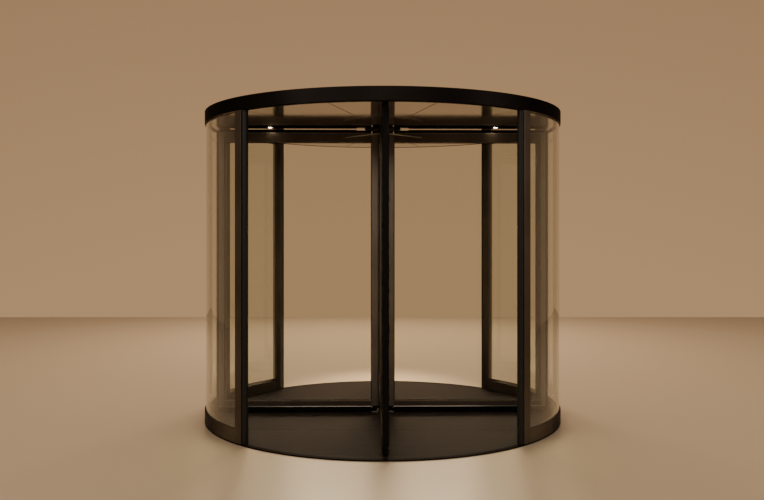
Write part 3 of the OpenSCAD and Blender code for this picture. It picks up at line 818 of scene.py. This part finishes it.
star_r = PIVOT_R + ARM
arm = [(star_r, -ARM, ARM * FULL_ROUND), (star_r, ARM, ARM * FULL_ROUND), (ARM, ARM, ARM_FILLET)]
star_plan = [(*(Matrix.Rotation(math.radians(90 * k), 2) @ Vector((x, y))), rounding)
             for k in range(4) for x, y, rounding in arm]
inner_stile = [vert.co.z for vert in NODES["right_wing_stiles"].data.vertices if vert.co.x < PIVOT_R]
stile_foot, stile_head = min(inner_stile), max(inner_stile)
for hub, face_z, way, sleeve_end in (("bottom_hub", stile_foot - END_GAP, -1, shaft_foot),
                                     ("top_hub", stile_head + END_GAP, 1, shaft_head)):
    far_z = face_z + way * STAR_T
    star = prism(star_plan, min(face_z, far_z), max(face_z, far_z))
    level = [e for e in star.edges if abs(e.verts[0].co.z - e.verts[1].co.z) < MERGE]
    soften(star, level, STAR_EDGE, 2)
    disc = lathe([(0, face_z), (DISC_R, face_z), (DISC_R, far_z, STAR_EDGE), (0, far_z)], 72)
    sleeve = lathe([(SHAFT_R - 1 * MM, face_z), (SLEEVE_R, face_z), (SLEEVE_R, sleeve_end, 1 * MM),
                    (SHAFT_R - 1 * MM, sleeve_end)], 72)
    pins = [round_bar(PIN_R, face_z + way * STAR_T / 2, face_z - way * PIN_L, 24, polar(PIVOT_R, 90 * k))
            for k in range(4)]
    finish_piece(hub + "_star", turned(join(star, disc, sleeve, *pins), REST_TURN), DARK_STEEL,
                 "canopy_bronze", hub, body="rotor")
print("pivots %.0f mm from the axis" % (PIVOT_R / MM))

# %% [markdown]
# ## Wings
# All four wings are alike, so each piece is drawn on the right-hand wing, which lies along +X, and turned to
# its place. Stiles and rails are bevelled bars, which leaves a fine groove at each butt joint. The glazing
# beads are one frame with mitred corners: the opening is drawn as a rectangle, inset to a ring, and the ring
# is drawn out from the glass with a sloping face. Four single bars would need their mitres cut by hand.

# %% Wing sizes
WINGS = {wing: 90 * k - 90 + REST_TURN
         for k, wing in enumerate(("front_wing", "right_wing", "rear_wing", "left_wing"))}
CARRIER = 5 * MM
LUG_SIDE = 30 * MM   # only the stay's lug reaches this far out of the wing's plane
to_plus_x = Matrix.Rotation(math.radians(-REST_TURN), 3, "Z")


def squared(node):
    """A node's points on the right-hand wing, turned back so that the wing lies along +X."""
    return [to_plus_x @ vert.co for vert in NODES[node].data.vertices]


def corners(points):
    return tuple(Vector(pick(p[i] for p in points) for i in range(3)) for pick in (min, max))


rail_points = squared("right_wing_rails")
lug_low, lug_high = corners([p for p in rail_points if p.y > LUG_SIDE])
rail_points = [p for p in rail_points if p.y < LUG_SIDE and not lug_low.z - MM < p.z < lug_high.z + MM]
rail_low, rail_high = corners(rail_points)
pane_low, pane_high = corners(squared("right_wing_glass"))
seal_low, seal_high = corners(squared("right_wing_seals"))
stile_low, stile_high = corners(squared("right_wing_stiles"))
rail_low.z = stile_low.z = stile_foot
rail_high.z = stile_high.z = stile_head
stile_high.x -= CARRIER
rail_levels = sorted({round(p.z, 5) for p in rail_points})
OPEN_LOW = Vector((rail_low.x, 0, [z for z in rail_levels if z < 1][-2]))
OPEN_HIGH = Vector((rail_high.x, 0, [z for z in rail_levels if z > 1][1]))
FRAME_HALF = stile_high.y
PANE_HALF = pane_high.y
print("wing opening %.3f by %.3f m" % (OPEN_HIGH.x - OPEN_LOW.x, OPEN_HIGH.z - OPEN_LOW.z))

# %% Mitred trim
def trim_frames(near, width, base, low, high):
    """Mitred rings on both sides of the pane: they start near in from the opening's edge, are width wide,
    stand on base and rise to low at the glass and to high at the edge."""
    left, right, foot, head = OPEN_LOW.x + near, OPEN_HIGH.x - near, OPEN_LOW.z + near, OPEN_HIGH.z - near
    rings = []
    for s in (-1, 1):
        bm = bmesh.new()
        face = bm.faces.new([bm.verts.new((x, s * base, z))
                             for x, z in ((left, foot), (right, foot), (right, head), (left, head))])
        face.normal_update()
        bmesh.ops.inset_region(bm, faces=[face], thickness=width, use_boundary=True)
        bmesh.ops.delete(bm, geom=[face], context="FACES")
        for vert in vertices(bmesh.ops.extrude_face_region(bm, geom=bm.faces[:])["geom"]):
            x, _, z = vert.co
            at_edge = min(abs(x - left), abs(x - right), abs(z - foot), abs(z - head)) < 0.1 * MM
            vert.co.y = s * (high if at_edge else low)
        rings.append(bm)
    return join(*rings)

# %% [markdown]
# A steel rod at 45 degrees holds each wing square to the next one. It has an eye that turns on a pin between
# two round-nosed plates on its own wing's top rail, and a magnetic head that stands against the next wing
# and lets go when the wing folds. Eye, head and rod are turned parts, so each is a section on the lathe.

# %% Stays and their lugs
STAY_PIN_R = 4 * MM
STAY_ROD_R = 4 * MM
STAY_COLLAR = 26 * MM
STAY_OVERLAP = 1 * MM
LUG_T = 5 * MM
STAY_TURN = 135   # degrees from +X to the way the rod runs

stay_low, stay_high = corners(squared("right_wing_stay"))
eye = to_plus_x @ joint_place("right_stay_fold")
eye.z = (stay_low.z + stay_high.z) / 2
EYE_R = stay_high.x - eye.x
EYE_HALF = (stay_high.z - stay_low.z) / 2
STAY_RUN = math.hypot(eye.x - stay_low.x - EYE_R, stay_high.y - EYE_R - eye.y)
print("stay %.0f mm long" % (STAY_RUN / MM))


def stay_lug():
    """Two plates with round noses, and the pin that the stay turns on."""
    left, right, nose, gap = eye.x - EYE_R, eye.x + EYE_R, eye.y + EYE_R, EYE_HALF + 0.3 * MM
    plan = [(left, rail_high.y), (right, rail_high.y), (right, nose, EYE_R * FULL_ROUND),
            (left, nose, EYE_R * FULL_ROUND)]
    plates = [prism(plan, foot_z, foot_z + LUG_T) for foot_z in (eye.z - gap - LUG_T, eye.z + gap)]
    reach = gap + LUG_T / 2
    return join(*plates, round_bar(STAY_PIN_R, eye.z - reach, eye.z + reach, 24, (eye.x, eye.y)))


def stay_rod():
    """The stay from the middle of its eye to the middle of its head, drawn along +X and then turned."""
    bore = STAY_PIN_R + 0.05 * MM
    eye_ring = lathe([(bore, -EYE_HALF), (EYE_R, -EYE_HALF, 1 * MM), (EYE_R, EYE_HALF, 1 * MM),
                      (bore, EYE_HALF)], 48)
    head = lathe([(0, -EYE_HALF), (EYE_R, -EYE_HALF, 1.5 * MM), (EYE_R, EYE_HALF, 1.5 * MM),
                  (0, EYE_HALF)], 48, (STAY_RUN, 0))
    near, far, collar_r = EYE_R - STAY_OVERLAP, STAY_RUN - EYE_R + STAY_OVERLAP, EYE_HALF - 0.1 * MM
    rod = lathe([(0, near), (collar_r, near), (collar_r, near + STAY_COLLAR, 0.8 * MM),
                 (STAY_ROD_R, near + STAY_COLLAR), (STAY_ROD_R, far - STAY_COLLAR),
                 (collar_r, far - STAY_COLLAR, 0.8 * MM), (collar_r, far), (0, far)], 24)
    bmesh.ops.rotate(rod, verts=rod.verts, matrix=Matrix.Rotation(math.radians(90), 3, "Y"))
    whole = turned(join(eye_ring, head, rod), STAY_TURN)
    bmesh.ops.translate(whole, verts=whole.verts, vec=eye)
    return whole

# %% Wing frames, beads, gaskets and glass
STILE_ROUND = 2 * MM
RAIL_ROUND = 1 * MM
WING_BEAD = 8 * MM
BEAD_TRIM = (0.1 * MM, WING_BEAD, PANE_HALF + 1.5 * MM, PANE_HALF + 3 * MM, FRAME_HALF - 4 * MM)
GASKET_TRIM = (WING_BEAD - 2 * MM, 4 * MM, PANE_HALF, PANE_HALF + 1.4 * MM, PANE_HALF + 2.6 * MM)


def wing_stiles():
    inner = bar(bmesh.new(), stile_low, (OPEN_LOW.x, FRAME_HALF, stile_high.z), STILE_ROUND, 3)
    return bar(inner, (OPEN_HIGH.x, -FRAME_HALF, stile_low.z), stile_high, STILE_ROUND, 3)


def wing_rails():
    bottom = bar(bmesh.new(), rail_low, (rail_high.x, FRAME_HALF, OPEN_LOW.z), RAIL_ROUND)
    return join(bar(bottom, (rail_low.x, -FRAME_HALF, OPEN_HIGH.z), rail_high, RAIL_ROUND), stay_lug())


def wing_piece(wing, part, bm, finish, slot, *solids, weighted=True):
    """Turns a piece of the right-hand wing to its place, on the wing's body or its stay's."""
    body = wing.replace("wing", "stay") if part == "stay_rod" else wing
    finish_piece(wing + "_" + part, turned(bm, WINGS[wing]), finish, slot,
                 *(wing + "_" + solid for solid in solids), body=body, weighted=weighted)


for wing in WINGS:
    rail_bronze = BRONZE["x" if wing in ("right_wing", "left_wing") else "y"]
    wing_piece(wing, "stile_bars", wing_stiles(), PAINTED_LIGHT_BRONZE, "bronze_frame", "stiles")
    wing_piece(wing, "rail_bars", wing_rails(), rail_bronze, "bronze_frame", "rails")
    wing_piece(wing, "beads", trim_frames(*BEAD_TRIM), BEAD_BRONZE, "bronze_frame")
    wing_piece(wing, "gaskets", trim_frames(*GASKET_TRIM), RUBBER, "safety_rubber")
    wing_piece(wing, "pane", bar(bmesh.new(), pane_low, pane_high, 0), GLASS, "clear_glass", "glass")
    wing_piece(wing, "stay_rod", stay_rod(), STAY_STEEL, "shaft_steel", "stay")
print("wings:", len(WINGS))

# %% [markdown]
# ## Brush seals
# Nylon bristle is sold as a strip: tufts in a dense core, held between the lips of a carrier. Hair would be
# no mesh, so a brush is drawn as thousands of tufts, each a thin three-sided cone that leans a little at
# random, in rows across a dark core. A tuft is thicker than a real bristle, because bundles are what the eye
# sees. The upright brush drags along the wall all day, so its tufts lean in clumps. The others reach a few
# millimetres past their solids, to where they drag, and further beyond the hub plate. A short brush closes
# the gap under the bottom hub star.

# %% Bristle tufts
random.seed(7)
TUFT_STEP = 5.5 * MM
TUFT_ROWS = 8
TUFT_R = 2.6 * MM
TUFT_LOT = 12
TUFT_CORNERS = 6   # three at each end
LEAN = 0.10
CLUMPING = 0.7   # how much of a tuft's sway the next one along the brush takes over


def tufts(start, run, out, length, half, splay=0.12, sway=0.0):
    """Tufts along run from start, standing along out and length long, in rows over the brush's thickness.
    They come in short lots, because each operator call takes longer in a full bmesh."""
    run, out = Vector(run), Vector(out)
    count = int(run.length / TUFT_STEP)
    lots = []
    clump = 0.0
    for i in range(count):
        if i % TUFT_LOT == 0:
            lots.append(bmesh.new())
        clump = CLUMPING * clump + random.gauss(0, sway)
        for row in range(TUFT_ROWS):
            tall = length * random.uniform(0.86, 1.0)
            across = half * (2 * (row + random.uniform(0.2, 0.8)) / TUFT_ROWS - 1)
            lean = Vector((random.gauss(0, LEAN), random.gauss(0, LEAN) + splay * across / half + clump,
                           random.gauss(0, LEAN)))
            way = (out + lean).normalized()
            foot = Vector(start) + run * ((i + random.uniform(0.2, 0.8)) / count) + Vector((0, across, 0))
            turn = way.to_track_quat("Z", "X").to_matrix().to_4x4()
            bmesh.ops.create_cone(lots[-1], cap_ends=True, segments=3, radius1=TUFT_R, radius2=TUFT_R * 0.25,
                                  depth=tall, matrix=Matrix.Translation(foot + way * tall / 2) @ turn)
    return lots

# %% One wing's brush
BRUSH_START = 94.5 * MM
HIGH_START = 220 * MM
UNDER_START = 52 * MM
DRAG = 3.5 * MM
TOP_DRAG = 9 * MM
FOOT_DRAG = 5.5 * MM
CORE = 0.94
BRUSH_HALF = seal_high.y
TUFT_HALF, EDGE_HALF = BRUSH_HALF - 4 * MM, BRUSH_HALF - 0.5 * MM

end_x, head_z, foot_z = stile_high.x, stile_high.z, stile_low.z
under_z = foot_z - END_GAP - STAR_T - 2.5 * MM
edge_l, top_l, foot_l = seal_high.x - end_x, seal_high.z - head_z, foot_z - seal_low.z
lots = tufts((end_x, 0, seal_low.z + 4 * MM), (0, 0, seal_high.z - seal_low.z - 8 * MM), (1, 0, 0),
             edge_l - 0.5 * MM, EDGE_HALF, 0.42, 0.2)
for from_x, run_x, z, up, length in (
        (BRUSH_START + 3 * MM, HIGH_START - BRUSH_START, head_z, 1, top_l + DRAG),
        (HIGH_START, end_x - HIGH_START - 3 * MM, head_z, 1, top_l + TOP_DRAG),
        (BRUSH_START + 3 * MM, end_x - BRUSH_START - 6 * MM, foot_z, -1, foot_l + FOOT_DRAG),
        (UNDER_START, BRUSH_START - UNDER_START, under_z, -1, under_z - bearing_top - 3 * MM)):
    lots += tufts((from_x, 0, z), (run_x, 0, 0), (0, 0, up), length, TUFT_HALF)
brush_bm = join(*lots)
print("tufts on a wing:", len(brush_bm.verts) // TUFT_CORNERS)

core, edge_core = TUFT_HALF - 3 * MM, EDGE_HALF - 1 * MM
for half, low_x, low_z, high_x, high_z in (
        (edge_core, end_x, seal_low.z + 8 * MM, end_x + edge_l * CORE, seal_high.z - 8 * MM),
        (core, BRUSH_START, head_z, HIGH_START, head_z + top_l * CORE),
        (core, HIGH_START, head_z, end_x, head_z + top_l + TOP_DRAG - 3 * MM),
        (core, BRUSH_START, seal_low.z - FOOT_DRAG + 1 * MM, end_x, foot_z),
        (core, UNDER_START, bearing_top + 6 * MM, BRUSH_START + 1 * MM, under_z)):
    bar(brush_bm, (low_x, -half, low_z), (high_x, half, high_z), 1 * MM)

# %% [markdown]
# The lips that hold the bristle are black beside the upright brush and pale aluminium on the rails, whose
# paleness paints in part of the light line along each rail's foot. Those at the foot slope outwards, so that
# a shoe glides off, and they catch the light. A rounded strip in the stiles' lighter bronze, which is painted
# light, fills the gap towards the shaft. All of them are plain bars on the real door too.

# %% Lips, strips and brushes
LIP_EDGE = 0.5 * MM
LIP_SLOPE = 1.6 * MM
INNER_STRIP_HALF = 8 * MM


def lips():
    """The lips on both sides of the upright brush, and those of the top and bottom brush."""
    upright, level = bmesh.new(), []
    lip_z = foot_z - CARRIER
    slope = (BRUSH_HALF, foot_z), (FRAME_HALF, foot_z), (FRAME_HALF + LIP_SLOPE, lip_z), (BRUSH_HALF, lip_z)
    for s in (-1, 1):
        low_y, high_y = sorted((s * BRUSH_HALF, s * FRAME_HALF))
        bar(upright, (end_x, low_y, foot_z), (end_x + CARRIER, high_y, head_z), LIP_EDGE, 1)
        level.append(bar(bmesh.new(), (BRUSH_START, low_y, head_z), (end_x, high_y, head_z + CARRIER),
                         LIP_EDGE, 1))
        sloped = bmesh.new()
        sloped.faces.new([sloped.verts.new((BRUSH_START, s * y, z)) for y, z in slope])
        level.append(extrude(sloped, (end_x - BRUSH_START, 0, 0)))
    return upright, join(*level)


for wing in WINGS:
    edge_lips, rail_lips = lips()
    strip = bar(bmesh.new(), (seal_low.x, -INNER_STRIP_HALF, foot_z), (stile_low.x, INNER_STRIP_HALF, head_z),
                3 * MM, 3)
    wing_piece(wing, "brushes", brush_bm.copy(), BRISTLE, "brush_fibre", "seals", weighted=False)
    wing_piece(wing, "edge_lips", edge_lips, BRISTLE, "bronze_frame")
    wing_piece(wing, "rail_lips", rail_lips, LIP_HIGHLIGHT_ALUMINIUM, "bronze_frame")
    wing_piece(wing, "inner_strip", strip, PAINTED_LIGHT_BRONZE, "bronze_frame")
brush_bm.free()
print("brush length %.2f m" % (head_z - foot_z))

# %% [markdown]
# ## Studio
# A pale floor and a surround that glows softly towards the back, lit by large soft lamps, so that glass and
# bronze are read by their reflections. A soft lamp for the mat would light the floor too, so the mat has a
# spot, which leaves no highlight. The lamps are hidden from the camera, also through the glass.

# %% Floor and surround
FLOOR_SIZE = 16.0

world = bpy.data.worlds.new("studio")
world.use_nodes = True
background = world.node_tree.nodes["Background"]
toward_wall = add_node(world, "ShaderNodeVectorMath", {"operation": "DOT_PRODUCT", 1: (0, 1, -1.2)},
                       {0: add_node(world, "ShaderNodeTexCoord").outputs["Generated"]}).outputs["Value"]
glow = add_node(world, "ShaderNodeMapRange", {"From Min": -0.6, "From Max": 1.0}, {"Value": toward_wall})
wire(world, background, Color=between(world, glow.outputs["Result"], "#6a5644", "#c29a70", 0.0, 1.0))
background.inputs["Strength"].default_value = 0.88
bpy.context.scene.world = world

PAINT, _ = new_material("pale_floor_paint", Base_Color=hex_colour("#bbaa93"), Roughness=0.24)
floor_bm = bmesh.new()
bmesh.ops.create_grid(floor_bm, x_segments=1, y_segments=1, size=FLOOR_SIZE / 2)
mesh_object("studio_floor", floor_bm, PAINT)
print("floor %.0f m wide" % FLOOR_SIZE)

# %% Lamps
WARM, WARMER = "#fff4e6", "#ffe2c0"


def add_lamp(name, kind, place, target, power, colour):
    """A lamp at place that points to target and isn't seen itself."""
    data = bpy.data.lights.new(name, kind)
    data.energy = power
    data.color = hex_colour(colour)[:3]
    lamp = new_object(name, data)
    lamp.location = place
    lamp.rotation_euler = (Vector(target) - Vector(place)).to_track_quat("-Z", "Y").to_euler()
    lamp.visible_camera = False
    lamp.visible_transmission = False
    return lamp


def soft_lamp(name, place, target, size, power, colour):
    lamp = add_lamp(name, "AREA", place, target, power, colour)
    lamp.data.shape = "RECTANGLE"
    lamp.data.size, lamp.data.size_y = size


soft_lamp("key_lamp", (-5.0, -5.5, 4.5), (0, 0, 1.2), (2.5, 4), 80, WARM)
soft_lamp("fill_lamp", (6.0, -3.5, 3.0), (0, 0, 1.2), (2, 4), 40, WARM)
soft_lamp("front_lamp", (0.0, -9.0, 4.2), (0, 0, 1.8), (7, 1.6), 110, "#ffeedd")
soft_lamp("rear_lamp", (0.0, 7.0, 4.6), (0, 0, 1.2), (4, 2), 640, WARMER)
soft_lamp("top_lamp", (0.0, 0.0, 6.5), (0, 0, 0), (9, 9), 300, "#fff0dc")
mat_lamp = add_lamp("mat_lamp", "SPOT", (0.0, 4.2, 2.6), (0, 0.8, 0.0), 2400, WARMER)
mat_lamp.data.spot_size = math.radians(30)
mat_lamp.data.spot_blend = 0.8
mat_lamp.data.shadow_soft_size = 0.3
mat_lamp.visible_glossy = False
print("lamps:", len(bpy.data.lights))

# %% [markdown]
# ## Counts and end
# The number of pieces and of their triangles is printed, with the triangles of the largest piece.

# %% Print the counts
print("pieces:", len(triangles), "triangles:", sum(triangles.values()), "largest:", max(triangles.values()))
